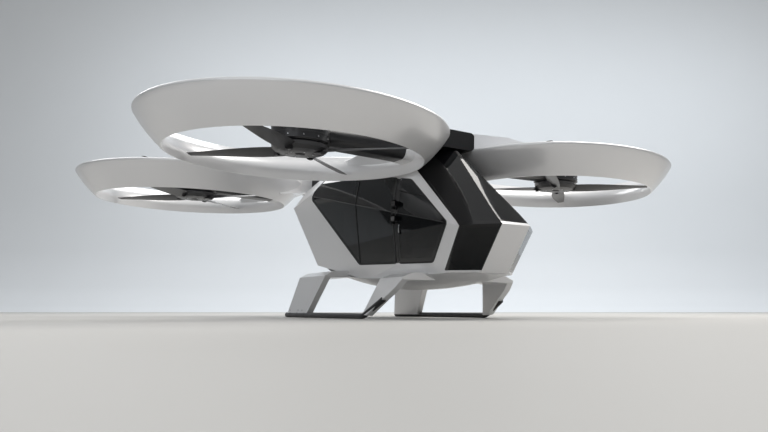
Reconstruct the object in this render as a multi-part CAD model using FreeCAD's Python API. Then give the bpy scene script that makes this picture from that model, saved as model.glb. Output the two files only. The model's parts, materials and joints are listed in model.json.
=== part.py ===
"""Four-seat electric aircraft with four ducted lift units, parked on its skids.

Millimetres. +Z is up, the nose points along -Y and +X is the aircraft's left side.
The origin is on the ground, under the middle of the four ducts.
"""

import FreeCAD, Part

import math
import os

from FreeCAD import Vector as V

# Lift units: where the ducts stand and how large they are
THROAT_R = 1428.0          # inner radius where the air is fastest
WALL_W = 329.0             # throat to the largest radius of the lip
INBOARD_GAP = 253.0        # ring to the centreline
DUCT_Y = 2420.0            # duct axis from the middle of the aircraft
ROOF_Z = 2480.0            # top of the roof, on which the spine lies
EXIT_DROP = 595.0          # the front ducts' lower edge under the roof
EXIT_Z = ROOF_Z - EXIT_DROP
REAR_RISE = 68.0           # the rear ducts stand higher by this
LIP_H = 402.0              # height of the duct, exit to lip
EXIT_R = THROAT_R + 22     # inner radius at the exit
RIM_R = THROAT_R + WALL_W
DUCT_X = RIM_R + INBOARD_GAP
EDGE_T = 14.0              # thickness of the trailing edge
TIP_GAP = 30.0             # rotor tip to the throat

# Motor pods and rotors
POD_R = 335.0
POD_LOW = 165.0            # bottom of the fixed pod above the exit plane
POD_HIGH = 388.0           # top of the fixed pod above the exit plane
GROOVE_H = 12.0            # seam round the pod
GROOVE_DEPTH = 10.0
SHAFT_R = 40.0
SHAFT_FIT = 0.05           # running clearance of a hub on its shaft
SHAFT_OUT = 80.0           # shaft beyond the pod at both ends
HUB_GAP = 12.0             # hub to pod
HUB_R = 325.0
UPPER_HUB_H = 165.0
LOWER_HUB_H = 108.0
CONE_R = 195.0             # flat end of the lower hub
BLADES = 4
BLADE_DROP = 82.0          # lower blade plane under the pod
BLADE_RISE = 97.0          # upper blade plane above the pod

# Arms that carry the pods, and the spine over the roof
ARM_Z = 288.0              # arm centre above the exit plane, at the bore
ARM_W, ARM_H = 420.0, 290.0
ARM_TIP_W, ARM_TIP_H = 370.0, 212.0
ARM_ROOT_H = 170.0         # arm height at the spine
COLLAR = 135.0             # how far the collar round an arm stands into the bore
SPINE_X = 300.0            # half width of the spine's cross boxes
SPINE_NECK = 230.0         # half width between the boxes
SPINE_LOW = 370.0          # box bottom above the exit plane
SPINE_HIGH = 620.0         # box top above the exit plane
BOX_Y = 260.0              # half length of a cross box
REACH = {"front": 150.0, "rear": 620.0}   # how far a root runs on towards the cabin
LIFT_X, LIFT_Y = 380.0, 300.0   # lifting holes on the front box, between centres
LIFT_HOLE_R = 9.0
LIFT_DEPTH = 45.0

# Cabin: side view stations, as (y, z)
NOSE = (-4005.0, 1097.0)
CHIN = (-3589.0, 553.0)
WIND_TOP = (-2700.0, 2215.0)
ROOF_REAR = (300.0, ROOF_Z)
TAIL_TOP = (1600.0, 2190.0)
TAIL_LOW = (480.0, 820.0)
BELLY_BREAK = (-1200.0, 530.0)
NOSE_HALF = 205.0          # half width of the nose plate
NOSE_LIP = 32.0            # how far the plate reaches over the nose's edge
LEDGE = V(430, -3775, 1086)          # corner between the nose and the cheeks
CHEEK = V(550, -3635, 1084)          # front end of the crease
CHIN_SIDE = V(490, -3243, 594)       # lower front corner of the side
SHOULDER = V(500, -2523, 1928)       # top of the white band
STRIP_TOP = V(250, -2827, 2011)      # upper corner between cheek and windshield
CREASE_REAR = V(700, 600, 1955)      # rear end of the crease
TAIL_SIDE = V(600, 1460, 1915)       # upper corner of the tail
ROOF_SIDE = V(330, 600, ROOF_Z - 40) # edge of the roof over the crease's end
WALL = 35.0                # thickness of panels
GLASS = 14.0               # thickness of the glazing
SEAM = 6.0                 # gap round a door
BIG = 12000.0

# Side glazing, as (y, z), from the front top corner and round by the front
WINDOW = [(-2441, 1800), (-3375, 1143), (-2999, 695), (-1009, 765), (500, 1880), (241, 2300)]
DOOR_BACK = -2130.0        # the post at which the door is hinged
POST = 84.0                # width of that post
DOOR_RIM = 46.0
HINGE_X = 634.0            # hinge axis from the centreline
HINGE_Z = (1270.0, 1470.0)
HINGE_PIN = 8.0            # pin radius
HINGE_R = 15.0             # knuckle radius
HINGE_FIT = 0.05           # running clearance on the pin
HINGE_H = 60.0
HINGE_END = 6.0            # axial gap between knuckles
LUG_H = 24.0

# Skids
TRACK_X = 957.0
RUNNER_R = 37.0
RUNNER_REAR = 600.0
RUNNER_BEND = -2080.0
TOE = V(TRACK_X - 52, -2500, 240)
TOE_BEND_R = 260.0
STRUT_T = 92.0

# Cabin inside
FLOOR_Z = 640.0
FLOOR_T = 40.0
BULKHEAD_Y = -720.0
SEAT_W = 450.0
SEAT_X = 240.0
SEAT_ROWS = {"front_seats": -2480.0, "rear_seats": -1400.0}


def save(name, shape):
    """Writes one piece to its own file."""
    shape.exportStep("parts/%s.step" % name)


def wire(points):
    """Closed polygon through the points."""
    return Part.makePolygon(list(points) + [points[0]])


def prism(points, start, length, along):
    """Solid from a closed outline of (a, b) pairs, pushed along an axis from start."""
    place = {
        "x": lambda a, b: V(start, a, b),
        "y": lambda a, b: V(a, start, b),
        "z": lambda a, b: V(a, b, start),
    }[along]
    push = {"x": V(length, 0, 0), "y": V(0, length, 0), "z": V(0, 0, length)}[along]
    return Part.Face(wire([place(a, b) for a, b in points])).extrude(push)


def outside(point, normal):
    """A large block on the outer side of a plane."""
    block = Part.makeBox(BIG, BIG, BIG, V(-BIG / 2, -BIG / 2, 0))
    turn = FreeCAD.Rotation(V(0, 0, 1), normal)
    block.Placement = FreeCAD.Placement(point, turn)
    return block


def plane_through(a, b, c, inward):
    """(point, outward normal) of the plane through three points."""
    n = (b - a).cross(c - a)
    n.normalize()
    if n.dot(inward - a) > 0:
        n = n * -1
    return a, n


def mirrored(v):
    return V(-v.x, v.y, v.z)


def side_edge(a, b):
    """Plane across the aircraft through two side view stations."""
    p, q = V(0, *a), V(0, *b)
    return plane_through(p, q, p + V(1000, 0, 0), V(0, -1200, 1300))


def body_planes():
    """The flat facets that the cabin is cut from, as (point, outward normal)."""
    middle = V(0, -1200, 1300)
    ring = [NOSE, WIND_TOP, ROOF_REAR, TAIL_TOP, TAIL_LOW, BELLY_BREAK, CHIN]
    planes = [side_edge(a, b) for a, b in zip(ring, ring[1:] + ring[:1])]
    facets = [
        (V(NOSE_HALF, *NOSE), CHEEK, V(400, -3400, 575)),      # chin window
        (V(NOSE_HALF, *NOSE), LEDGE, STRIP_TOP),               # beside the windshield
        (LEDGE, CHEEK, SHOULDER),                              # cheek over the ledge
        (CHEEK, CREASE_REAR, CHIN_SIDE),                       # side under the crease
        (CHEEK, CREASE_REAR, SHOULDER),                        # side over the crease
        (SHOULDER, ROOF_SIDE, STRIP_TOP + V(60, 60, 60)),      # roof side
        (CREASE_REAR, TAIL_SIDE, ROOF_SIDE),                   # rear shoulder
    ]
    for a, b, c in facets:
        planes.append(plane_through(a, b, c, middle))
        planes.append(plane_through(mirrored(a), mirrored(b), mirrored(c), middle))
    return planes


def cabin_body(inset):
    """The faceted cabin, smaller by inset on every side."""
    body = Part.makeBox(3000, 8000, 4000, V(-1500, -5000, 0))
    for point, normal in body_planes():
        body = body.cut(outside(point - normal * inset, normal))
    return body


def shrunk(points, by):
    """A convex outline moved inwards by a distance."""
    area = sum(a[0] * b[1] - b[0] * a[1] for a, b in zip(points, points[1:] + points[:1]))
    turn = 1.0 if area > 0 else -1.0
    lines = []
    for (ax, ay), (bx, by_) in zip(points, points[1:] + points[:1]):
        dx, dy = bx - ax, by_ - ay
        n = math.hypot(dx, dy)
        nx, ny = -dy / n * turn, dx / n * turn
        lines.append((ax + nx * by, ay + ny * by, dx, dy))
    out = []
    for (px, py, dx, dy), (qx, qy, ex, ey) in zip(lines[-1:] + lines[:-1], lines):
        t = ((qx - px) * ey - (qy - py) * ex) / (dx * ey - dy * ex)
        out.append((px + dx * t, py + dy * t))
    return out


def clip_outline(points, y, keep_front):
    """The part of a side view outline on one side of a cross plane."""
    out = []
    for a, b in zip(points, points[1:] + points[:1]):
        for p in (a,):
            if (p[0] <= y) == keep_front:
                out.append(p)
        if (a[0] <= y) != (b[0] <= y):
            t = (y - a[0]) / (b[0] - a[0])
            out.append((y, a[1] + t * (b[1] - a[1])))
    return out


def rounded(points, radius):
    """Closed wire through convex corners, each rounded by an arc."""
    edges, n = [], len(points)
    ends = []
    for i in range(n):
        p, q, r = points[i - 1], points[i], points[(i + 1) % n]
        a, b = (p - q), (r - q)
        la, lb = a.Length, b.Length
        a.normalize(), b.normalize()
        half = math.acos(max(-1, min(1, a.dot(b)))) / 2
        cut = min(radius / math.tan(half), 0.45 * la, 0.45 * lb)
        rad = cut * math.tan(half)
        m = a + b
        m.normalize()
        centre = q + m * (rad / math.sin(half))
        ends.append((q + a * cut, centre - m * rad, q + b * cut))
    for i in range(n):
        start, mid, stop = ends[i]
        edges.append(Part.Arc(start, mid, stop).toShape())
        nxt = ends[(i + 1) % n][0]
        if (nxt - stop).Length > 1e-6:
            edges.append(Part.LineSegment(stop, nxt).toShape())
    return Part.Wire(edges)


def round_prism(points, radius, start, length, along):
    """As prism, with rounded corners."""
    place = {
        "x": lambda a, b: V(start, a, b),
        "y": lambda a, b: V(a, start, b),
        "z": lambda a, b: V(a, b, start),
    }[along]
    push = {"x": V(length, 0, 0), "y": V(0, length, 0), "z": V(0, 0, length)}[along]
    return Part.Face(rounded([place(a, b) for a, b in points], radius)).extrude(push)


def hinge(z):
    """Left hinge at a height: what the door carries and what the post carries."""
    reach = HINGE_X - WALL - 32
    axis = V(HINGE_X, DOOR_BACK, z)
    foot = Part.makeBox(HINGE_X - reach, 60, HINGE_H, V(reach, DOOR_BACK - POST / 2 - SEAM - 64, z))
    leaf = Part.makeBox(14, 105, HINGE_H, V(HINGE_X - 2, DOOR_BACK - 105, z))
    moving = Part.makeCylinder(HINGE_R, HINGE_H, axis).fuse([foot, leaf])
    moving = moving.cut(Part.makeCylinder(HINGE_PIN + HINGE_FIT, HINGE_H + 2, axis - V(0, 0, 1)))
    low, top = z - HINGE_END - LUG_H, z + HINGE_H + HINGE_END
    fixed = Part.makeCylinder(HINGE_PIN, top + LUG_H - low, V(HINGE_X, DOOR_BACK, low))
    for height in (low, top):
        fixed = fixed.fuse([
            Part.makeCylinder(HINGE_R, LUG_H, V(HINGE_X, DOOR_BACK, height)),
            Part.makeBox(HINGE_X - reach, 26, LUG_H, V(reach, DOOR_BACK - 13, height)),
        ])
    return moving, fixed


def mirror_x(shape):
    return shape.mirror(V(0, 0, 0), V(1, 0, 0))


# Cabin shell and its panels

def belly_hull():
    """The shallow boat-shaped pan under the cabin."""
    stations = [            # y, half width, depth under the cabin's bottom
        (-3570, 245, 14),
        (-3000, 500, 105),
        (-1900, 570, 150),
        (-900, 560, 135),
        (340, 480, 24),
    ]
    wires = []
    for y, half, depth in stations:
        top = bottom_z(y)
        a, b, c = V(-half, y, top), V(0, y, top - depth), V(half, y, top)
        wires.append(Part.Wire([Part.Arc(a, b, c).toShape(), Part.LineSegment(c, a).toShape()]))
    return Part.makeLoft(wires, True, False)


def bottom_z(y):
    """Height of the cabin's flat bottom at a station."""
    a, b = (CHIN, BELLY_BREAK) if y < BELLY_BREAK[0] else (BELLY_BREAK, TAIL_LOW)
    return a[1] + (b[1] - a[1]) * (y - a[0]) / (b[0] - a[0])


def panels():
    """Cuts the cabin shell along its real seams. Returns name to shape."""
    outer, inner = cabin_body(0), cabin_body(WALL)
    shell = outer.cut(inner)
    glass_shell = outer.cut(cabin_body(GLASS))
    made = {}

    # side frames, with the glazed opening
    side_view = [(CHEEK.y, CHEEK.z), (SHOULDER.y, SHOULDER.z), (ROOF_SIDE.y, ROOF_SIDE.z - 20),
                 (TAIL_TOP[0] + 300, TAIL_TOP[1]), (TAIL_LOW[0] + 400, 0), (CHIN_SIDE.y - 200, 0),
                 (CHIN_SIDE.y, CHIN_SIDE.z)]
    front_window = clip_outline(WINDOW, DOOR_BACK - POST / 2, True)
    rear_window = clip_outline(WINDOW, DOOR_BACK + POST / 2, False)
    sides = {}
    for name, side in (("right", -1), ("left", 1)):
        region = prism(side_view, side * 290.0, side * 700.0, "x")
        holes = [round_prism(w, 45, side * 250.0, side * 800.0, "x") for w in (front_window, rear_window)]
        frame = shell.common(region)
        for hole in holes:
            frame = frame.cut(hole)
        sides[name] = region
        strip = prism([(DOOR_BACK - POST / 2, 0), (DOOR_BACK + POST / 2, 0), (DOOR_BACK + POST / 2, 4000),
                       (DOOR_BACK - POST / 2, 4000)], side * 290.0, side * 700.0, "x")
        opening = round_prism(WINDOW, 45, side * 250.0, side * 800.0, "x")
        post = frame.common(strip).common(opening)
        frame = frame.cut(post)
        for z in HINGE_Z:
            moving, fixed = hinge(z)
            post = post.fuse(fixed if side > 0 else mirror_x(fixed))
        made["side_frame_" + name] = frame
        made["door_post_" + name] = post.removeSplitter()
        pane = round_prism(rear_window, 45, side * 250.0, side * 800.0, "x")
        made["rear_window_" + name] = glass_shell.common(pane)
        door = round_prism(shrunk(front_window, SEAM), 40, side * 250.0, side * 800.0, "x")
        light = round_prism(shrunk(front_window, SEAM + DOOR_RIM), 30, side * 250.0, side * 800.0, "x")
        leaf = shell.common(door).cut(light)
        for z in HINGE_Z:
            moving, fixed = hinge(z)
            leaf = leaf.fuse(moving if side > 0 else mirror_x(moving))
        made["door_" + name] = leaf.cut(inner).removeSplitter()
        made["door_glass_" + name] = glass_shell.common(light).cut(made["door_" + name])

    rest = shell.cut(sides["right"]).cut(sides["left"])
    nose_region = Part.makeBox(2 * NOSE_HALF, 900, NOSE[1] + NOSE_LIP, V(-NOSE_HALF, NOSE[0] - 100, 0))
    made["nose_panel"] = rest.common(nose_region)
    rest = rest.cut(nose_region)

    # chin windows under the ledge, on both sides of the nose plate
    ledge = NOSE[1] - 40
    chin_region = prism([(-4500, CHIN[1] + 42), (-4500, ledge), (-3380, ledge), (-3380, CHIN[1] + 42)],
                        -700.0, 1400.0, "x")
    pane = glass_shell.cut(sides["right"]).cut(sides["left"]).cut(nose_region).common(chin_region)
    made["chin_windows"] = pane
    rest = rest.cut(chin_region)

    # floor pan of the shell, tail, windshield and black roof
    floor_region = Part.makeBox(1400, 6200, 700, V(-700, -4300, -120))
    tail_region = prism([(ROOF_REAR[0] + 130, 3000), (2400, 3000), (2400, 0), (-1500, 0), (-1500, 560),
                         (TAIL_LOW[0] - 250, TAIL_LOW[1] + 100), (ROOF_REAR[0] + 130, 1700)],
                        -800.0, 1600.0, "x")
    made["tail_shell"] = rest.common(tail_region)
    rest = rest.cut(tail_region)
    made["under_shell"] = rest.common(floor_region)
    rest = rest.cut(floor_region)
    above = outside(V(0, 0, LEDGE.z + 45), V(0, 0, 1))
    low, high = NOSE[0] + 60, WIND_TOP[0] - 90
    half = STRIP_TOP.x - 20
    corners = [V(-half, high, 0), V(half, high, 0), V(LEDGE.x - 25, LEDGE.y + 60, 0), V(NOSE_HALF, low, 0),
               V(-NOSE_HALF, low, 0), V(25 - LEDGE.x, LEDGE.y + 60, 0)]
    pane = Part.Face(rounded(corners, 30)).extrude(V(0, 0, 4000)).common(above)
    made["windshield"] = glass_shell.common(pane)
    made["roof_shell"] = rest.cut(pane)
    return outer, inner, made


# Ducts

def duct_section():
    """Outline of the ring's wall, as (radius, height over the exit)."""
    def p(out, z):
        return V(THROAT_R + out, 0, z)
    rim, low = WALL_W, EXIT_R - THROAT_R
    edges = [
        Part.LineSegment(p(low, 0), p(0, 0.28 * LIP_H)),
        Part.Arc(p(0, 0.28 * LIP_H), p(0.10 * rim, 0.56 * LIP_H), p(0.36 * rim, 0.74 * LIP_H)),
        Part.Arc(p(0.36 * rim, 0.74 * LIP_H), p(0.64 * rim, 0.87 * LIP_H), p(rim - 36, LIP_H - 3)),
        Part.Arc(p(rim - 36, LIP_H - 3), p(rim - 7, LIP_H - 12), p(rim, LIP_H - 44)),
        Part.Arc(p(rim, LIP_H - 44), p(0.56 * rim + 12, 0.42 * LIP_H), p(low + EDGE_T, 0)),
        Part.LineSegment(p(low + EDGE_T, 0), p(low, 0)),
    ]
    return Part.Face(Part.Wire([e.toShape() for e in edges]))


def root_at_origin(reach):
    """Fairing from the ring in to the spine, longer by reach towards +Y, with a collar round the arm."""
    root_x, wide_x = SPINE_X - DUCT_X, 378 - THROAT_R
    half = 0.83 * THROAT_R
    plan = [(root_x, -BOX_Y), (wide_x, -half), (wide_x, half), (root_x + 180, BOX_Y + reach), (root_x, BOX_Y + reach)]
    side = [(root_x, SPINE_LOW - 130), (wide_x, 95), (wide_x, 0.72 * LIP_H), (-THROAT_R, SPINE_HIGH - 90),
            (root_x, SPINE_HIGH - 6)]
    body = prism(plan, 0.0, 900.0, "z").common(
        Part.Face(wire([V(x, -3000, z) for x, z in side])).extrude(V(0, 6000, 0)))
    body = body.cut(Part.makeCylinder(EXIT_R, 3000, V(0, 0, -1500)))
    wires = []
    for x, grow in ((COLLAR - THROAT_R, 24), (-THROAT_R - 60, 60)):
        w, h = ARM_W + grow, ARM_H + 0.4 * grow
        wires.append(rounded([V(x, a * w / 2, ARM_Z + b * h / 2) for a, b in ((-1, -1), (1, -1), (1, 1), (-1, 1))],
                             110))
    return body.fuse(Part.makeLoft(wires, True, True))


def arm_at_origin():
    """Arm from its pod to the spine, on the duct's axis, reaching towards -X."""
    stations = [            # x from the duct axis, width, height, centre height
        (-POD_R + 60, ARM_TIP_W, ARM_TIP_H, (POD_LOW + POD_HIGH) / 2),
        (-EXIT_R + 20, ARM_W, ARM_H, ARM_Z),
        (SPINE_X - DUCT_X, ARM_W, ARM_ROOT_H, (SPINE_LOW + SPINE_HIGH) / 2),
    ]
    wires = []
    for x, w, h, z in stations:
        corners = [V(x, -w / 2, z - h / 2), V(x, w / 2, z - h / 2), V(x, w / 2, z + h / 2), V(x, -w / 2, z + h / 2)]
        wires.append(rounded(corners, 110))
    arm = Part.makeLoft(wires, True, True).cut(Part.makeCylinder(POD_R, 1200, V(0, 0, -300)))
    return arm


def pod_at_origin():
    """Fixed motor pod with the shafts that both hubs run on."""
    seam = (POD_LOW + POD_HIGH) / 2 + 55
    outline = [
        (0, POD_LOW), (POD_R - 18, POD_LOW), (POD_R, POD_LOW + 18), (POD_R, seam),
        (POD_R - GROOVE_DEPTH, seam), (POD_R - GROOVE_DEPTH, seam + GROOVE_H), (POD_R, seam + GROOVE_H),
        (POD_R, POD_HIGH - 14), (POD_R - 14, POD_HIGH), (0, POD_HIGH),
    ]
    pod = Part.Face(wire([V(r, 0, z) for r, z in outline])).revolve(V(0, 0, 0), V(0, 0, 1), 360)
    low, high = POD_LOW - SHAFT_OUT, POD_HIGH + SHAFT_OUT
    return pod.fuse(Part.makeCylinder(SHAFT_R, high - low, V(0, 0, low))).removeSplitter()


def blade(sense):
    """One blade along +X, twisted for the way its rotor turns."""
    tip = THROAT_R - TIP_GAP
    stations = [(180, 150, 30), (520, 205, 22), (960, 180, 14), (tip, 105, 9)]   # radius, chord, pitch
    wires = []
    for radius, chord, pitch in stations:
        t = math.radians(pitch) * sense
        u, w = V(0, math.cos(t), math.sin(t)), V(0, -math.sin(t), math.cos(t))
        c = V(radius, 0, 0)
        lead, trail = c - u * (chord / 2), c + u * (chord / 2)
        wires.append(Part.Wire([
            Part.Arc(lead, c + w * (chord * 0.085), trail).toShape(),
            Part.Arc(trail, c - w * (chord * 0.030), lead).toShape(),
        ]))
    return Part.makeLoft(wires, True, False)


def rotor_at_origin(upper):
    """Hub and blades. The upper hub is a flat cap, the lower one a blunt cone."""
    if upper:
        base, plane = POD_HIGH + HUB_GAP, POD_HIGH + BLADE_RISE
        outline = [(0, base), (HUB_R - 8, base), (HUB_R, base + 8), (HUB_R, base + UPPER_HUB_H - 45),
                   (HUB_R - 60, base + UPPER_HUB_H), (0, base + UPPER_HUB_H)]
        bore_z = base - 1
    else:
        base, plane = POD_LOW - HUB_GAP, POD_LOW - BLADE_DROP
        outline = [(0, base), (HUB_R - 8, base), (HUB_R, base - 8), (HUB_R - 4, base - LOWER_HUB_H + 58),
                   (HUB_R - 48, base - LOWER_HUB_H + 16), (CONE_R, base - LOWER_HUB_H),
                   (0, base - LOWER_HUB_H)]
        bore_z = base - SHAFT_OUT - 9
    hub = Part.Face(wire([V(r, 0, z) for r, z in outline])).revolve(V(0, 0, 0), V(0, 0, 1), 360)
    rotor = hub
    for k in range(BLADES):
        one = blade(1 if upper else -1)
        one.rotate(V(0, 0, 0), V(0, 0, 1), 45 + 360.0 / BLADES * k)
        one.translate(V(0, 0, plane))
        rotor = rotor.fuse(one)
    bore = Part.makeCylinder(SHAFT_R + SHAFT_FIT, SHAFT_OUT + 10, V(0, 0, bore_z))
    return rotor.cut(bore).removeSplitter()


def spine():
    """Beam over the roof: a cross box at each pair of ducts, joined by a narrower spine."""
    low, high = EXIT_Z + SPINE_LOW, EXIT_Z + SPINE_HIGH
    parts = []
    for y, rise in ((-DUCT_Y, 0), (DUCT_Y, REAR_RISE)):
        box = [(-SPINE_X, low + rise), (SPINE_X, low + rise), (SPINE_X, high + rise), (-SPINE_X, high + rise)]
        parts.append(round_prism(box, 60, y - BOX_Y, 2 * BOX_Y, "y"))
    ends = []
    for y, rise in ((-DUCT_Y, 0), (DUCT_Y, REAR_RISE)):
        z0, z1 = low - 60 + rise, high - 25 + rise
        ends.append(rounded([V(-SPINE_NECK, y, z0), V(SPINE_NECK, y, z0), V(SPINE_NECK, y, z1),
                             V(-SPINE_NECK, y, z1)], 70))
    bar = Part.makeLoft(ends, True, True)
    return bar.fuse(parts).removeSplitter()


# Skids

def runner():
    """Left runner: a tube that turns up along the front strut."""
    a, b = V(TRACK_X, RUNNER_REAR, RUNNER_R), V(TRACK_X, RUNNER_BEND, RUNNER_R)
    back, on = (a - b), (TOE - b)
    back.normalize(), on.normalize()
    half = math.acos(back.dot(on)) / 2
    cut = TOE_BEND_R / math.tan(half)
    m = back + on
    m.normalize()
    centre = b + m * (TOE_BEND_R / math.sin(half))
    p, q = b + back * cut, b + on * cut
    path = Part.Wire([
        Part.LineSegment(a, p).toShape(),
        Part.Arc(p, centre - m * TOE_BEND_R, q).toShape(),
        Part.LineSegment(q, TOE).toShape(),
    ])
    ring = Part.Wire([Part.makeCircle(RUNNER_R, a, V(0, 1, 0))])
    return path.makePipeShell([ring], True, False)


def band(points, thickness):
    """Closed front view outline of a bent strip, given its upper line and thickness."""
    lower = []
    n = len(points)
    for i, p in enumerate(points):
        a, b = points[max(i - 1, 0)], points[min(i + 1, n - 1)]
        dx, dz = b[0] - a[0], b[1] - a[1]
        s = math.hypot(dx, dz)
        lower.append((p[0] + dz / s * thickness, p[1] - dx / s * thickness))
    return points + lower[::-1]


def struts():
    """Left struts: front and rear."""
    front = prism(band([(380, 572), (700, 566), (TRACK_X - 117, 510), (TRACK_X + 28, 50)], STRUT_T), -3200.0, 4400.0, "y")
    front_side = [(-2330, 640), (-2870, 640), (-2850, 480), (-2740, 380), (-2470, 215), (-2200, 40), (-2085, 40)]
    rear = prism(band([(380, 690), (760, 676), (TRACK_X - 77, 610), (TRACK_X + 23, 50)], STRUT_T), -3200.0, 4400.0, "y")
    rear_side = [(-640, 800), (-620, 600), (-215, 40), (560, 40), (380, 560), (330, 800)]
    return (front.common(prism(front_side, 300.0, 900.0, "x")),
            rear.common(prism(rear_side, 300.0, 900.0, "x")))


# Inside

def seat(y):
    """One seat, right of the centreline: cushion, back and head rest in one profile."""
    z = FLOOR_Z
    side = [(y - 260, z), (y + 200, z), (y + 260, z + 300), (y + 430, z + 900), (y + 440, z + 1060),
            (y + 350, z + 1080), (y + 290, z + 900), (y + 120, z + 430), (y - 280, z + 400), (y - 300, z + 300)]
    shape = round_prism(side, 35, -SEAT_X - SEAT_W / 2, SEAT_W, "x")
    return shape


def main():
    os.makedirs("parts", exist_ok=True)
    outer, inner, made = panels()
    hull = belly_hull().cut(outer)
    left_runner = runner()
    runners = {"left": left_runner, "right": mirror_x(left_runner)}
    front, rear = struts()
    legs = {}
    for name, one in (("front", front), ("rear", rear)):
        one = one.cut(left_runner).cut(hull).cut(outer)
        legs[name + "_left"], legs[name + "_right"] = one, mirror_x(one)

    beam = spine().cut(outer)
    for sx in (-1, 1):
        for sy in (-1, 1):
            at = V(sx * LIFT_X / 2, -DUCT_Y + sy * LIFT_Y / 2, EXIT_Z + SPINE_HIGH - LIFT_DEPTH)
            beam = beam.cut(Part.makeCylinder(LIFT_HOLE_R, LIFT_DEPTH + 1, at))
    save("roof_spine", beam)
    save("belly_hull", hull)
    for name, shape in runners.items():
        save("skid_runner_" + name, shape)
    for name, shape in legs.items():
        save("skid_strut_" + name, shape)

    arm, pod = arm_at_origin(), pod_at_origin()
    ring = duct_section().revolve(V(0, 0, 0), V(0, 0, 1), 360)
    roots = {end: root_at_origin(REACH[end]).cut(ring).cut(arm) for end in REACH}
    ring = ring.cut(arm)
    rotors = {"upper": rotor_at_origin(True), "lower": rotor_at_origin(False)}
    for end, sy in (("front", -1), ("rear", 1)):
        for name, sx in (("right", -1), ("left", 1)):
            place = V(DUCT_X, sy * DUCT_Y, EXIT_Z + (REAR_RISE if sy > 0 else 0))
            root = roots[end]
            if sy > 0:
                root = root.mirror(V(0, 0, 0), V(0, 1, 0))
            for kind, shape in (("duct", ring), ("root", root), ("arm", arm), ("pod", pod),
                                ("rotor_upper", rotors["upper"]), ("rotor_lower", rotors["lower"])):
                one = shape.copy()
                one.translate(place)
                if kind in ("duct", "root", "arm"):
                    one = one.cut(outer).cut(beam)
                if sx < 0:
                    one = mirror_x(one)
                save("%s_%s_%s" % (kind, end, name), one)

    for name, shape in made.items():
        save(name, shape)

    inside = inner
    floor = Part.makeBox(1600, BULKHEAD_Y + 3400, FLOOR_T, V(-800, -3400, FLOOR_Z - FLOOR_T)).common(inside)
    save("cabin_floor", floor)
    wall = Part.makeBox(1600, 40, 2600, V(-800, BULKHEAD_Y, 0)).common(inside)
    save("rear_bulkhead", wall)
    for name, y in SEAT_ROWS.items():
        one = seat(y)
        one = one.common(inside).cut(floor)
        save(name, Part.Compound([one, mirror_x(one)]))
    battery = Part.makeBox(760, 620, 900, V(-380, BULKHEAD_Y + 40, 780)).common(inside)
    save("battery_pack", battery)
    console = prism([(-3400, FLOOR_Z), (-3200, FLOOR_Z), (-3140, 1000), (-3300, 1070), (-3500, 900)],
                    -170.0, 340.0, "x").common(inside)
    save("instrument_pod", console)


main()
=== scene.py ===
"""Looks of the four-seat ducted aircraft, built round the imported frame."""

# %% [markdown]
# All that follows is added round these solids, so the few sizes that both share are written here, in
# metres: +Z is up, the nose points to -Y.

import json
import math

import bmesh
import bpy
from mathutils import Matrix, Vector


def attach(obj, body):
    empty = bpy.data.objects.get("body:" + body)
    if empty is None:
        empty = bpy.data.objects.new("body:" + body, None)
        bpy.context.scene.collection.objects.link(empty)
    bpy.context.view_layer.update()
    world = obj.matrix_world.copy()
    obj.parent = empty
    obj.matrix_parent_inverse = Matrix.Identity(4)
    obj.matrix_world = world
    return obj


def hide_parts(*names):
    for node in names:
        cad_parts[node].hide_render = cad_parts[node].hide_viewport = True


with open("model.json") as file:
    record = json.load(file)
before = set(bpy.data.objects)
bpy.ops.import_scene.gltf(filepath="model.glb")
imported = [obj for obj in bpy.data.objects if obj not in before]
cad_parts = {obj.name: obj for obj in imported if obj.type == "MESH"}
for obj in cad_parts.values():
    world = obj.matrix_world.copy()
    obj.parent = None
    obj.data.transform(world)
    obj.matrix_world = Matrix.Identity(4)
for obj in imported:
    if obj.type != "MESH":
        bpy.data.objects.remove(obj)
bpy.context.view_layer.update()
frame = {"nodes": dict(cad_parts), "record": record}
nodes = frame["nodes"]
slots = {s["node"]: s["material_slot"] for s in frame["record"]["subparts"]}

EXIT_Z, REAR_RISE = 1.885, 0.068
CORNERS = [(e, s, (-1 if s == "right" else 1) * 2.010, (-1 if e == "front" else 1) * 2.420,
            EXIT_Z + (REAR_RISE if e == "rear" else 0))
           for e in ("front", "rear") for s in ("right", "left")]
print("solids:", len(nodes), "lift units:", len(CORNERS))

# %% [markdown]
# Real paint is never quite even. Each finish is one principled shader whose colour and roughness are
# stirred a little by noise, so that large panels don't look like plastic. The shell is a pearl paint:
# a little metallic, so that its undersides darken as the sky gives way to the ground. Glass is a thin
# dark sheet with some alpha and not a refracting volume, since a pane is 14 mm thick and light passes
# it almost straight. The shine value lowers the mirror strength of the blacks, which would look grey
# under a pale sky.

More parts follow.
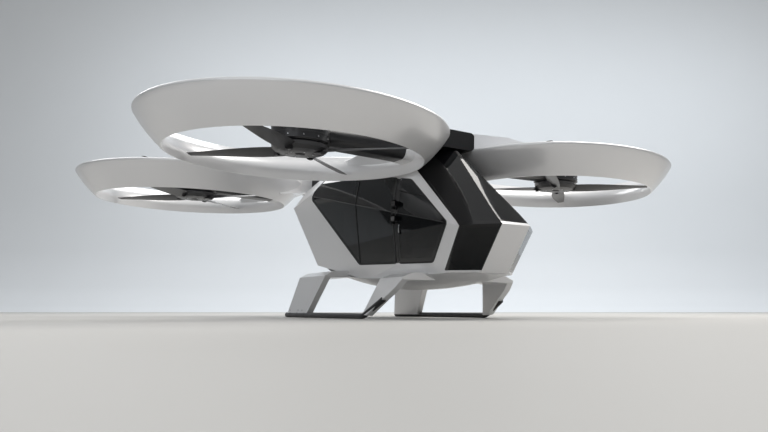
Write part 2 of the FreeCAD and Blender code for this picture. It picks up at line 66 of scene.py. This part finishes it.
# %% Finishes
def principled(name, color, rough, metal=0.0, coat=0.0, grain=0.0, scale=40.0, bump=0.0, alpha=1.0, tint=0.06,
               shine=0.5):
    """A paint, plastic or metal with a little unevenness in its colour, gloss and surface."""
    m = bpy.data.materials.new(name)
    m.use_nodes = True
    tree = m.node_tree
    b = tree.nodes["Principled BSDF"]
    b.inputs["Metallic"].default_value = metal
    b.inputs["Coat Weight"].default_value = coat
    b.inputs["Coat Roughness"].default_value = 0.06
    b.inputs["Alpha"].default_value = alpha
    b.inputs["Specular IOR Level"].default_value = shine
    place = tree.nodes.new("ShaderNodeTexCoord")
    noise = tree.nodes.new("ShaderNodeTexNoise")
    noise.inputs["Scale"].default_value = scale
    noise.inputs["Detail"].default_value = 5.0
    tree.links.new(place.outputs["Object"], noise.inputs["Vector"])
    ramp = tree.nodes.new("ShaderNodeMapRange")
    ramp.inputs["To Min"].default_value = max(0.02, rough - grain)
    ramp.inputs["To Max"].default_value = min(1.0, rough + grain)
    tree.links.new(noise.outputs["Fac"], ramp.inputs["Value"])
    tree.links.new(ramp.outputs["Result"], b.inputs["Roughness"])
    mix = tree.nodes.new("ShaderNodeMix")
    mix.data_type = "RGBA"
    mix.inputs[6].default_value = (*[c * (1 - tint) for c in color], 1)
    mix.inputs[7].default_value = (*color, 1)
    tree.links.new(noise.outputs["Fac"], mix.inputs[0])
    tree.links.new(mix.outputs[2], b.inputs["Base Color"])
    if bump:
        bumped = tree.nodes.new("ShaderNodeBump")
        bumped.inputs["Strength"].default_value = bump
        bumped.inputs["Distance"].default_value = 0.002
        tree.links.new(noise.outputs["Fac"], bumped.inputs["Height"])
        tree.links.new(bumped.outputs["Normal"], b.inputs["Normal"])
    return m


def glowing(name, color, strength):
    m = principled(name, color, 0.2, coat=0.5)
    b = m.node_tree.nodes["Principled BSDF"]
    b.inputs["Emission Color"].default_value = (*color, 1)
    b.inputs["Emission Strength"].default_value = strength
    return m


MATS = {
    "white_shell": principled("white_shell", (0.80, 0.80, 0.81), 0.30, 0.30, 0.30, 0.04, 3.0, tint=0.03),
    "gloss_black": principled("gloss_black", (0.005, 0.005, 0.006), 0.10, 0.0, 0.0, 0.03, 4.0, shine=0.32),
    "satin_black": principled("satin_black", (0.014, 0.014, 0.016), 0.36, 0.1, 0.15, 0.06, 18.0),
    "rotor_black": principled("rotor_black", (0.020, 0.020, 0.022), 0.42, 0.0, 0.2, 0.06, 60.0, 0.05),
    "dark_glass": principled("dark_glass", (0.003, 0.004, 0.005), 0.03, 0.0, 0.0, 0.01, 2.0, alpha=0.82,
                             shine=0.34),
    "seat_leather": principled("seat_leather", (0.13, 0.12, 0.115), 0.48, 0.0, 0.1, 0.08, 160.0, 0.5),
    "cabin_trim": principled("cabin_trim", (0.045, 0.045, 0.05), 0.65, 0.0, 0.0, 0.08, 90.0, 0.3),
    "battery_case": principled("battery_case", (0.16, 0.17, 0.18), 0.45, 0.4, 0.0, 0.05, 30.0),
    "seal": principled("seal", (0.010, 0.010, 0.011), 0.62, 0.0, 0.0, 0.06, 120.0, 0.2),
    "steel": principled("steel", (0.55, 0.56, 0.58), 0.28, 1.0, 0.0, 0.06, 80.0),
    "belt": principled("belt", (0.03, 0.03, 0.033), 0.8, 0.0, 0.0, 0.08, 400.0, 0.6),
    "screen": glowing("screen", (0.05, 0.16, 0.22), 0.5),
}
print("finishes:", ", ".join(sorted(MATS)))

# %% [markdown]
# Small pieces could be made with Blender's own primitives and then moved, but each would need its own
# steps. Here a piece is a list of points and faces, so one helper gives it normals, a finish, a bevel
# and the body that it rides on. Blocks, turned shapes and bars are the three forms that recur.

# %% Helpers that make pieces
def piece(name, verts, faces, mat, body="airframe", slot=None, smooth=40.0, bevel=0.0):
    me = bpy.data.meshes.new(name)
    me.from_pydata([tuple(v) for v in verts], [], faces)
    bm = bmesh.new()
    bm.from_mesh(me)
    bmesh.ops.recalc_face_normals(bm, faces=bm.faces)
    bm.to_mesh(me)
    bm.free()
    me.shade_smooth()
    me.set_sharp_from_angle(angle=math.radians(smooth))
    o = bpy.data.objects.new(name, me)
    bpy.context.scene.collection.objects.link(o)
    me.materials.append(MATS[mat])
    if bevel:
        b = o.modifiers.new("edge", "BEVEL")
        b.width, b.segments, b.limit_method = bevel, 2, "ANGLE"
        b.angle_limit = math.radians(30)
    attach(o, body)
    return o


def block(name, centre, size, mat, body="airframe", bevel=0.004, turn=None, **more):
    x, y, z = (s / 2 for s in size)
    corners = [Vector((a * x, b * y, c * z)) for a in (-1, 1) for b in (-1, 1) for c in (-1, 1)]
    r = turn or Matrix.Identity(3)
    verts = [r @ v + Vector(centre) for v in corners]
    faces = [(0, 1, 3, 2), (4, 6, 7, 5), (0, 4, 5, 1), (2, 3, 7, 6), (0, 2, 6, 4), (1, 5, 7, 3)]
    return piece(name, verts, faces, mat, body, bevel=bevel, **more)


def lathe(name, outline, centre, mat, body="airframe", n=64, closed=False, **more):
    """Outline of (radius, z) pairs turned about the vertical through centre."""
    verts, faces, m = [], [], len(outline)
    for i in range(n):
        a = 2 * math.pi * i / n
        verts += [Vector(centre) + Vector((r * math.cos(a), r * math.sin(a), z)) for r, z in outline]
    for i in range(n):
        j = (i + 1) % n
        for k in range(m if closed else m - 1):
            l = (k + 1) % m
            faces.append((i * m + k, j * m + k, j * m + l, i * m + l))
    return piece(name, verts, faces, mat, body, **more)


def tube(name, points, radius, mat, body="airframe", n=10, closed=False, **more):
    """Round bar along points."""
    pts = [Vector(p) for p in points]
    verts, faces, count = [], [], len(pts)
    for i, p in enumerate(pts):
        if closed:
            d = pts[(i + 1) % count] - pts[i - 1]
        else:
            d = pts[min(i + 1, count - 1)] - pts[max(i - 1, 0)]
        side = d.cross(Vector((0.3, 0.2, 0.93)))
        side.normalize()
        up = side.cross(d).normalized()
        for k in range(n):
            a = 2 * math.pi * k / n
            verts.append(p + side * (radius * math.cos(a)) + up * (radius * math.sin(a)))
    for i in range(count if closed else count - 1):
        j = (i + 1) % count
        for k in range(n):
            l = (k + 1) % n
            faces.append((i * n + k, i * n + l, j * n + l, j * n + k))
    if not closed:
        faces += [tuple(range(n)), tuple(range((count - 1) * n, count * n))[::-1]]
    return piece(name, verts, faces, mat, body, **more)


# %% [markdown]
# The solids arrive as triangles with hard edges. Welding joins the faces again. A real panel has folds
# with a radius of a few millimetres, which catch the light, so the folded shells get a bevel whose
# hardened normals keep their facets flat. Turned pieces are smooth, split only where they are sharp.
# Inside, the shells are lined: faces that look at the cabin's axis get the trim. sift() leaves out the
# small crumbs that a cut left beside the duct roots, by adding up the faces of each loose bit.

# %% The finish of the CAD solids
def dress(o, mat, inward=None, soft=0.0):
    """Gives a CAD node its finish, welded and smooth, and its inner faces another one."""
    me = o.data
    me.materials.clear()
    me.materials.append(MATS[mat])
    bpy.context.view_layer.objects.active = o
    if me.has_custom_normals:
        bpy.ops.mesh.customdata_custom_splitnormals_clear()
    for p in me.polygons:
        p.material_index = 0
        p.use_smooth = True
    if inward:
        me.materials.append(MATS[inward])
        for p in me.polygons:
            to_axis = Vector((0, min(max(p.center.y, -3.2), 0.8), 1.25 + max(0, p.center.y + 1.2) * 0.2)) - p.center
            to_axis.y *= 0.25
            if p.normal.dot(to_axis.normalized()) > 0.35:
                p.material_index = 1
    weld = o.modifiers.new("weld", "WELD")
    weld.merge_threshold = 0.00002
    if soft:
        edge = o.modifiers.new("edge", "BEVEL")
        edge.width, edge.segments, edge.limit_method = soft, 2, "ANGLE"
        edge.angle_limit = math.radians(9)
        edge.use_clamp_overlap = True
        edge.harden_normals = True
        return
    split = o.modifiers.new("split", "EDGE_SPLIT")
    split.split_angle = math.radians(9 if mat == "dark_glass" else 32)


def sift(o, area):
    """Leaves out of the picture the crumbs of a node, loose bits whose faces add up to less than an area."""
    tree = bpy.data.node_groups.new("sift", "GeometryNodeTree")
    for way in ("INPUT", "OUTPUT"):
        tree.interface.new_socket("Geometry", in_out=way, socket_type="NodeSocketGeometry")
    into, out = tree.nodes.new("NodeGroupInput"), tree.nodes.new("NodeGroupOutput")
    bit = tree.nodes.new("GeometryNodeInputMeshIsland")
    face = tree.nodes.new("GeometryNodeInputMeshFaceArea")
    total = tree.nodes.new("GeometryNodeAccumulateField")
    total.data_type, total.domain = "FLOAT", "FACE"
    small = tree.nodes.new("FunctionNodeCompare")
    small.data_type, small.operation = "FLOAT", "LESS_THAN"
    small.inputs[1].default_value = area
    drop = tree.nodes.new("GeometryNodeDeleteGeometry")
    drop.domain = "FACE"
    for a, b in ((face.outputs["Area"], total.inputs["Value"]), (bit.outputs["Island Index"], total.inputs["Group ID"]),
                 (total.outputs["Total"], small.inputs[0]), (small.outputs["Result"], drop.inputs["Selection"]),
                 (into.outputs[0], drop.inputs["Geometry"]), (drop.outputs[0], out.inputs[0])):
        tree.links.new(a, b)
    m = o.modifiers.new("sift", "NODES")
    m.node_group = tree
    o.modifiers.move(len(o.modifiers) - 1, 1)


INNER = {"side_frame_right", "side_frame_left", "door_post_right", "door_post_left", "roof_shell", "tail_shell",
         "nose_panel", "under_shell", "door_right", "door_left"}
SOFT = {"nose_panel": 0.008, "side_frame_right": 0.005, "side_frame_left": 0.005, "roof_shell": 0.006,
        "tail_shell": 0.008, "under_shell": 0.006, "skid_strut_front_right": 0.008, "skid_strut_front_left": 0.008,
        "skid_strut_rear_right": 0.008, "skid_strut_rear_left": 0.008}
for name, o in nodes.items():
    dress(o, slots[name], "cabin_trim" if name in INNER else None, SOFT.get(name, 0.0))
    if name.startswith("root_"):
        sift(o, 0.35)

# %% [markdown]
# The side of the cabin is folded from flat facets, and seals and frames have to lie on them. They could
# be shrinkwrapped, but that slides points off the folds. Since the side is convex, how far out it is at
# any place is the least of its planes there, so side_x() puts a line of the side view on the side.
# The outlines are the window hexagon of the solids, cut at the door post.

# %% Seals, door frames and mullions
FACETS = [       # three points of each plane of the left side
    ((0.550, -3.635, 1.084), (0.700, 0.600, 1.955), (0.490, -3.243, 0.594)),
    ((0.550, -3.635, 1.084), (0.700, 0.600, 1.955), (0.500, -2.523, 1.928)),
    ((0.430, -3.775, 1.086), (0.550, -3.635, 1.084), (0.500, -2.523, 1.928)),
    ((0.205, -4.005, 1.097), (0.550, -3.635, 1.084), (0.400, -3.400, 0.575)),
    ((0.700, 0.600, 1.955), (0.600, 1.460, 1.915), (0.330, 0.600, 2.440)),
    ((0.500, -2.523, 1.928), (0.330, 0.600, 2.440), (0.310, -2.767, 2.071)),
]
WINDOW = [(-2.441, 1.800), (-3.375, 1.143), (-2.999, 0.695), (-1.009, 0.765), (0.500, 1.880), (0.241, 2.300)]
DOOR_BACK, POST = -2.130, 0.084


def side_x(y, z):
    """How far out the cabin's left side is at a place in the side view."""
    best = 9.0
    for a, b, c in FACETS:
        a, b, c = Vector(a), Vector(b), Vector(c)
        n = (b - a).cross(c - a)
        best = min(best, a.x - (n.y * (y - a.y) + n.z * (z - a.z)) / n.x)
    return best


def clip(points, y, front):
    out = []
    for a, b in zip(points, points[1:] + points[:1]):
        if (a[0] <= y) == front:
            out.append(a)
        if (a[0] <= y) != (b[0] <= y):
            out.append((y, a[1] + (y - a[0]) / (b[0] - a[0]) * (b[1] - a[1])))
    return out


def soften(points, radius, steps=5):
    """Outline with its corners rounded."""
    out = []
    for i, q in enumerate(points):
        p, r, q = Vector(points[i - 1]), Vector(points[(i + 1) % len(points)]), Vector(q)
        a, b = (p - q), (r - q)
        t = min(radius, a.length * 0.4, b.length * 0.4)
        a, b = q + a.normalized() * t, q + b.normalized() * t
        for k in range(steps + 1):
            s = k / steps
            out.append(tuple(a * (1 - s) ** 2 + q * (2 * s * (1 - s)) + b * s * s))
    return out


def fill_in(points, step=0.06):
    """Outline with points added, so that it follows the folds of the facets."""
    out = []
    for a, b in zip(points, points[1:] + points[:1]):
        n = max(1, int(math.dist(a, b) / step))
        out += [(a[0] + (b[0] - a[0]) * k / n, a[1] + (b[1] - a[1]) * k / n) for k in range(n)]
    return out


def on_side(points, sign, lift):
    return [Vector((sign * (side_x(y, z) + lift), y, z)) for y, z in points]


GLAZED = {
    "door": ("door_", clip(WINDOW, DOOR_BACK - POST / 2, True)),
    "rear": ("airframe", clip(WINDOW, DOOR_BACK + POST / 2, False)),
}


def offset(points, by):
    """A convex outline moved inwards, or outwards where by is negative."""
    area = sum(a[0] * b[1] - b[0] * a[1] for a, b in zip(points, points[1:] + points[:1]))
    turn = 1 if area > 0 else -1
    lines = []
    for a, b in zip(points, points[1:] + points[:1]):
        d = Vector(b) - Vector(a)
        n = Vector((-d.y, d.x)).normalized() * turn
        lines.append((Vector(a) + n * by, d))
    out = []
    for (p, d), (q, e) in zip(lines[-1:] + lines[:-1], lines):
        t = ((q - p).x * e.y - (q - p).y * e.x) / (d.x * e.y - d.y * e.x)
        out.append(tuple(p + d * t))
    return out


def side_band(name, outline, width, lift, mat, sign, radius=0.05, body="airframe", depth=0.006):
    """Flat strip on the cabin side, inside an outline, standing out by lift."""
    outer = fill_in(soften(outline, radius), 0.05)
    inner = soften(offset(outline, width), max(0.01, radius - width))
    rings = []
    for pts in (outer, [min(fill_in(inner, 0.01), key=lambda q: math.dist(q, p)) for p in outer]):
        for h in (lift, lift - depth):
            rings.append(on_side(pts, sign, h))
    n = len(outer)
    verts = rings[0] + rings[1] + rings[2] + rings[3]
    faces = []
    for i in range(n):
        j = (i + 1) % n
        for a, b in ((0, 1), (2, 0), (3, 2), (1, 3)):
            faces.append((a * n + i, a * n + j, b * n + j, b * n + i))
    return piece(name, verts, faces, mat, body, smooth=25)


for side, sign in (("right", -1), ("left", 1)):
    side_band("rear_window_seal_" + side, offset(GLAZED["rear"][1], -0.012), 0.034, 0.004, "seal", sign)
    side_band("door_frame_line_" + side, offset(GLAZED["door"][1], 0.006), 0.05, 0.002, "gloss_black", sign, 0.04,
              "door_" + side, 0.004)
    side_band("door_seal_" + side, offset(GLAZED["door"][1], -0.012), 0.014, 0.003, "seal", sign)
    line = [(y, 1.084 + (y + 3.635) * 0.2057) for y in (-3.31, -2.9, -2.6, -2.2)]
    tube("door_crease_" + side, on_side(line, sign, 0.001), 0.006, "seal", "door_" + side, n=8)
    line = [(y, 1.084 + (y + 3.635) * 0.2057) for y in (-2.07, -1.5, -1.0, -0.5, 0.0, 0.48)]
    tube("window_crease_" + side, on_side(line, sign, 0.001), 0.007, "seal", n=8)
    line = [(-1.03, 0.772 + 0.05 * k) for k in range(26)] + [(-1.03, 2.060)]
    tube("rear_mullion_" + side, on_side(line, sign, -0.003), 0.014, "seal", n=8)

# %% [markdown]
# Each lift unit has a fixed motor pod with a hub above and a hub below. The blades and hubs are solids.
# What a maker adds is small: a cuff where a blade enters the hub, a ring of bolts, a cap on the shaft and
# the clamp rings round the pod. They are placed by angle in loops and ride on their rotor's body.

# %% Rotor and pod fittings
def bolt(name, centre, normal, r, mat="steel", body="airframe"):
    """Low six-sided head that stands on a face."""
    n = Vector(normal).normalized()
    side = n.orthogonal().normalized()
    other = n.cross(side)
    verts = []
    for h, k in ((-0.003, 1.0), (r * 0.55, 1.0), (r * 0.75, 0.78)):
        for i in range(6):
            a = math.pi * i / 3
            verts.append(Vector(centre) + n * h + (side * math.cos(a) + other * math.sin(a)) * r * k)
    faces = [(i, (i + 1) % 6, 6 + (i + 1) % 6, 6 + i) for i in range(6)]
    faces += [(6 + i, 6 + (i + 1) % 6, 12 + (i + 1) % 6, 12 + i) for i in range(6)]
    faces += [tuple(range(12, 18)), tuple(range(6))[::-1]]
    return piece(name, verts, faces, mat, body, smooth=20)


for end, side, x, y, base in CORNERS:
    unit = "%s_%s" % (end, side)
    for level, hub_z, bolt_r in (("upper", base + 0.565, 0.19), ("lower", base + 0.045, 0.15)):
        body = "rotor_%s_%s" % (level, unit)
        up = 1 if level == "upper" else -1
        for k in range(6):
            a = math.radians(30 + 60 * k)
            bolt("bolt_%s_%d" % (body, k), (x + bolt_r * math.cos(a), y + bolt_r * math.sin(a), hub_z),
                 (0, 0, up), 0.011, "steel", body)
        cap = [(0.0, 0.012 * up), (0.045, 0.012 * up), (0.058, 0.004 * up), (0.06, -0.004 * up)]
        lathe("cap_" + body, cap, (x, y, hub_z), "satin_black", body, n=40)
        plane = base + (0.485 if level == "upper" else 0.083)
        hub_r = 0.325 if level == "upper" else 0.295
        for k in range(4):
            a = math.radians(45 + 90 * k)
            d = Vector((math.cos(a), math.sin(a), 0))
            at = Vector((x, y, plane))
            tube("cuff_%s_%d" % (body, k), [at + d * (hub_r - 0.03), at + d * (hub_r + 0.012),
                                            at + d * (hub_r + 0.014)], 0.052 if level == "upper" else 0.046,
                 "satin_black", body, n=20)
    for k, h in enumerate((0.186, 0.262, 0.366)):
        band = [(0.333, h - 0.007), (0.339, h - 0.006), (0.339, h + 0.006), (0.333, h + 0.007)]
        lathe("pod_band_%s_%d" % (unit, k), band, (x, y, base), "rotor_black", n=96)
    for k in range(12):
        a = math.radians(15 + 30 * k)
        d = Vector((math.cos(a), math.sin(a), 0))
        if abs(d.y) < 0.62 and d.x * x < 0:
            continue
        bolt("pod_bolt_%s_%d" % (unit, k), Vector((x, y, base + 0.215)) + d * 0.335, d, 0.009)

# %% [markdown]
# The skids are tubes under folded struts. Sleeves clamp the tube at the rear strut, a rubber cap closes
# its end and bolts hold the strut. A sleeve is 1.5 mm thick and touches the ground with its lower edge.

# %% Skid clamps, caps and bolts
def ring_on_bar(name, a, b, r, mat, body="airframe"):
    return tube(name, [a, b], r, mat, body, n=28)


for side, sign in (("right", -1), ("left", 1)):
    for k, y in enumerate((0.44, 0.16, -0.12)):
        ring_on_bar("skid_clamp_%s_%d" % (side, k), (sign * 0.957, y - 0.03, 0.0385), (sign * 0.957, y + 0.03, 0.0385),
                    0.0385, "rotor_black")
    ring_on_bar("skid_cap_" + side, (sign * 0.957, 0.585, 0.0385), (sign * 0.957, 0.604, 0.0385), 0.0385, "seal")
    for k, (y, z) in enumerate(((0.38, 0.13), (0.05, 0.13), (-0.10, 0.13))):
        bolt("skid_bolt_%s_%d" % (side, k), (sign * 0.999, y, z - 0.02), (sign, 0, 0.2), 0.010)

# %% [markdown]
# A flush lever on a black plate opens each door, just behind the glass. Access covers with four screws
# lie along the spine, tilted by the spine's own small climb to the rear.

# %% Door handles, seams and spine covers
def seam(name, points, r=0.0028, mat="seal", body="airframe"):
    return tube(name, points, r, mat, body, n=6)


for side, sign in (("right", -1), ("left", 1)):
    at = Vector((sign * (side_x(-2.245, 1.17) + 0.002), -2.245, 1.17))
    block("door_handle_plate_" + side, at, (0.008, 0.038, 0.15), "gloss_black", "door_" + side, bevel=0.003)
    tube("door_handle_" + side, [at + Vector((sign * 0.003, 0, -0.055)), at + Vector((sign * 0.0085, 0, -0.045)),
                                 at + Vector((sign * 0.0085, 0, 0.045)), at + Vector((sign * 0.003, 0, 0.055))],
         0.006, "steel", "door_" + side, n=10)
    front = [(-3.635, 1.084), (-3.2, 1.434), (-2.80, 1.748)]
    seam("band_seam_" + side, on_side([(y + 0.004, z) for y, z in front], sign, 0.0))
for k, y in enumerate((-1.9, -0.7, 0.5, 1.7)):
    z = 2.480 + (y + 2.42) / 4.84 * REAR_RISE
    block("spine_cover_%d" % k, (0, y, z - 0.001), (0.30, 0.42, 0.008), "gloss_black", bevel=0.003,
          turn=Matrix.Rotation(math.radians(0.8), 3, "X"))
    for a in (-1, 1):
        for b in (-1, 1):
            bolt("spine_bolt_%d_%d_%d" % (k, a + 1, b + 1), (a * 0.13, y + b * 0.19, z + 0.003 + b * 0.0026),
                 (0, 0, 1), 0.007)

# %% [markdown]
# Through the dark glass one sees four seats, so they have to be upholstery and not blocks. A cushion is
# a grid wrapped round a box, pulled towards a ball to round its edges, fuller in the middle and dished
# across, where a body would sit. A cloth simulation would give the same form at a far higher cost.

# %% Seats, belts, panel and controls
def cushion(name, centre, size, mat="seat_leather", body="airframe", pitch=0.0, puff=0.12, grid=10, hollow=0.0):
    """A padded block with rounded edges, a little fuller in the middle, dished by hollow across its width."""
    verts, faces, index = [], [], {}
    tilt = Matrix.Rotation(pitch, 3, "X")

    def point(u, v, w):
        key = (round(u, 5), round(v, 5), round(w, 5))
        if key not in index:
            p = Vector((u, v, w))
            roundness = 0.82
            ball = p.normalized() * max(abs(c) for c in p)
            r = p.lerp(ball, 1 - roundness)
            full = 1 + puff * (1 - u * u) * (1 - v * v) * (1 if abs(w) == 1 else 0)
            r.z *= full
            r.z += hollow * (u * u) * (1 if w > 0 else 0) * 2
            verts.append(tilt @ Vector((r.x * size[0] / 2, r.y * size[1] / 2, r.z * size[2] / 2)) + Vector(centre))
            index[key] = len(verts) - 1
        return index[key]

    steps = [-1 + 2 * k / grid for k in range(grid + 1)]
    for a in range(grid):
        for b in range(grid):
            u0, u1, v0, v1 = steps[a], steps[a + 1], steps[b], steps[b + 1]
            for w in (-1, 1):
                faces.append([point(*c) for c in ((u0, v0, w), (u1, v0, w), (u1, v1, w), (u0, v1, w))])
                faces.append([point(*c) for c in ((w, u0, v0), (w, u1, v0), (w, u1, v1), (w, u0, v1))])
                faces.append([point(*c) for c in ((u0, w, v0), (u1, w, v0), (u1, w, v1), (u0, w, v1))])
    o = piece(name, verts, faces, mat, body, smooth=60)
    return o


for row, y in (("front", -2.480), ("rear", -1.400)):
    for side, x in (("right", -0.240), ("left", 0.240)):
        tag = "%s_%s" % (row, side)
        base = cushion("seat_base_" + tag, (x, y - 0.03, 0.985), (0.42, 0.50, 0.14), hollow=0.15)
        cushion("seat_back_" + tag, (x, y + 0.27, 1.33), (0.42, 0.60, 0.12), pitch=math.radians(75), hollow=0.25)
        cushion("seat_head_" + tag, (x, y + 0.385, 1.675), (0.24, 0.17, 0.09), pitch=math.radians(80))
        for k, dx in enumerate((-0.205, 0.205)):
            cushion("seat_side_%s_%d" % (tag, k), (x + dx * 0.98, y + 0.26, 1.30), (0.06, 0.54, 0.15),
                    pitch=math.radians(75), grid=6)
        block("seat_plinth_" + tag, (x, y, 0.775), (0.34, 0.38, 0.26), "cabin_trim", bevel=0.02)
        block("seat_shell_" + tag, (x, y + 0.335, 1.29), (0.40, 0.03, 0.68), "cabin_trim", bevel=0.012,
              turn=Matrix.Rotation(math.radians(-15), 3, "X"))
        for k, dx in enumerate((-0.10, 0.10)):
            tube("belt_%s_%d" % (tag, k),
                 [(x + dx, y + 0.325, 1.62), (x + dx * 0.95, y + 0.20, 1.40), (x + dx * 0.8, y + 0.115, 1.16),
                  (x + dx * 1.4, y + 0.06, 1.075)], 0.009, "belt", n=6)
    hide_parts(row + "_seats")

block("panel_screen", (0, -3.215, 1.10), (0.44, 0.02, 0.17), "screen", bevel=0.006,
      turn=Matrix.Rotation(math.radians(-22), 3, "X"))
block("panel_hood", (0, -3.245, 1.115), (0.50, 0.05, 0.21), "cabin_trim", bevel=0.014,
      turn=Matrix.Rotation(math.radians(-22), 3, "X"))
for side, x in (("right", -0.47), ("left", 0.47)):
    tube("side_stick_" + side, [(x, -2.62, 1.02), (x, -2.63, 1.10), (x, -2.60, 1.17)], 0.014, "satin_black")
    block("arm_rest_" + side, (x, -2.48, 1.01), (0.06, 0.34, 0.05), "cabin_trim", bevel=0.015)

# %% [markdown]
# The photograph is taken in flight, and here the aircraft is parked in a studio. A pale floor and a
# curved backdrop, square to the camera, keep the eye on it. The sky darkens towards the horizon, which
# gives the rings their dark undersides and keeps the glass black. One large soft key comes from above,
# a weak fill from the camera's left, a rim from behind, and a wash lights the backdrop.

# %% Floor, backdrop, lights and camera
LOOK = Vector((0.627, 0.779, 0))          # the way the camera faces, on the floor
ACROSS = Vector((-0.779, 0.627, 0))


def sweep(name, rows, color, rough):
    """A wide sheet across the camera's way, through (distance, height) rows."""
    verts = [LOOK * far + ACROSS * (60 * k) + Vector((0, 0, z)) for far, z in rows for k in (-1, 1)]
    me = bpy.data.meshes.new(name)
    me.from_pydata(verts, [], [(2 * i, 2 * i + 1, 2 * i + 3, 2 * i + 2) for i in range(len(rows) - 1)])
    me.shade_smooth()
    me.materials.append(principled(name, color, rough, tint=0.02, scale=0.6, shine=0.3))
    o = bpy.data.objects.new(name, me)
    bpy.context.scene.collection.objects.link(o)


sweep("floor", [(-60, 0.0), (0, 0.0), (22, 0.0)], (0.55, 0.54, 0.52), 0.6)
sweep("backdrop", [(20, -0.02), (21.4, 0.3), (22.6, 1.2), (23.4, 3.0), (23.8, 6.0), (24.0, 40.0)],
      (0.80, 0.82, 0.84), 0.8)


def area_light(name, place, aim, size, power, color=(1, 1, 1)):
    light = bpy.data.lights.new(name, "AREA")
    light.shape, light.size, light.size_y = "RECTANGLE", size[0], size[1]
    light.energy, light.color = power, color
    o = bpy.data.objects.new(name, light)
    o.location = place
    o.rotation_euler = (Vector(aim) - Vector(place)).to_track_quat("-Z", "Y").to_euler()
    bpy.context.scene.collection.objects.link(o)
    return o


area_light("key", (7, -2, 12), (0, 0, 1.5), (9, 9), 1500, (1.0, 0.97, 0.93))
area_light("fill", (-10, -8, 5), (0, 0, 1.2), (8, 4), 130, (0.93, 0.96, 1.0))
area_light("rim", (-2, 10, 9), (0, 0, 2), (12, 4), 480)
area_light("wash", LOOK * 13 + Vector((0, 0, 13)), LOOK * 24 + Vector((0, 0, 4)), (36, 3), 1700, (0.90, 0.95, 1.0))
world = bpy.data.worlds.new("world")
world.use_nodes = True
sky = world.node_tree
place = sky.nodes.new("ShaderNodeTexCoord")
parts = sky.nodes.new("ShaderNodeSeparateXYZ")
ramp = sky.nodes.new("ShaderNodeValToRGB")
sky.links.new(place.outputs["Generated"], parts.inputs["Vector"])
sky.links.new(parts.outputs["Z"], ramp.inputs["Fac"])
sky.links.new(ramp.outputs["Color"], sky.nodes["Background"].inputs["Color"])
for at, value in ((0.0, 0.08), (0.22, 0.16), (0.55, 0.65), (1.0, 1.0)):
    stop = ramp.color_ramp.elements[0] if at == 0 else ramp.color_ramp.elements.new(at)
    stop.color = (value * 0.95, value * 0.98, value, 1)
sky.nodes["Background"].inputs["Strength"].default_value = 0.9
bpy.context.scene.world = world

cam = bpy.data.cameras.new("camera")
cam.lens, cam.sensor_width = 32.2, 36.0
camera = bpy.data.objects.new("camera", cam)
camera.location = (-4.91, -10.27, 0.12)
az, el = math.radians(-38.9), math.radians(-9.0)
back = Vector((math.sin(az) * math.cos(el), -math.cos(az) * math.cos(el), math.sin(el)))
camera.rotation_mode = "QUATERNION"
camera.rotation_quaternion = (-back).to_track_quat("-Z", "Y")
cam.shift_x, cam.shift_y = -0.185, -0.02
bpy.context.scene.collection.objects.link(camera)
bpy.context.scene.camera = camera
bpy.context.scene.view_settings.view_transform = "Standard"
bpy.context.scene.view_settings.look = "None"
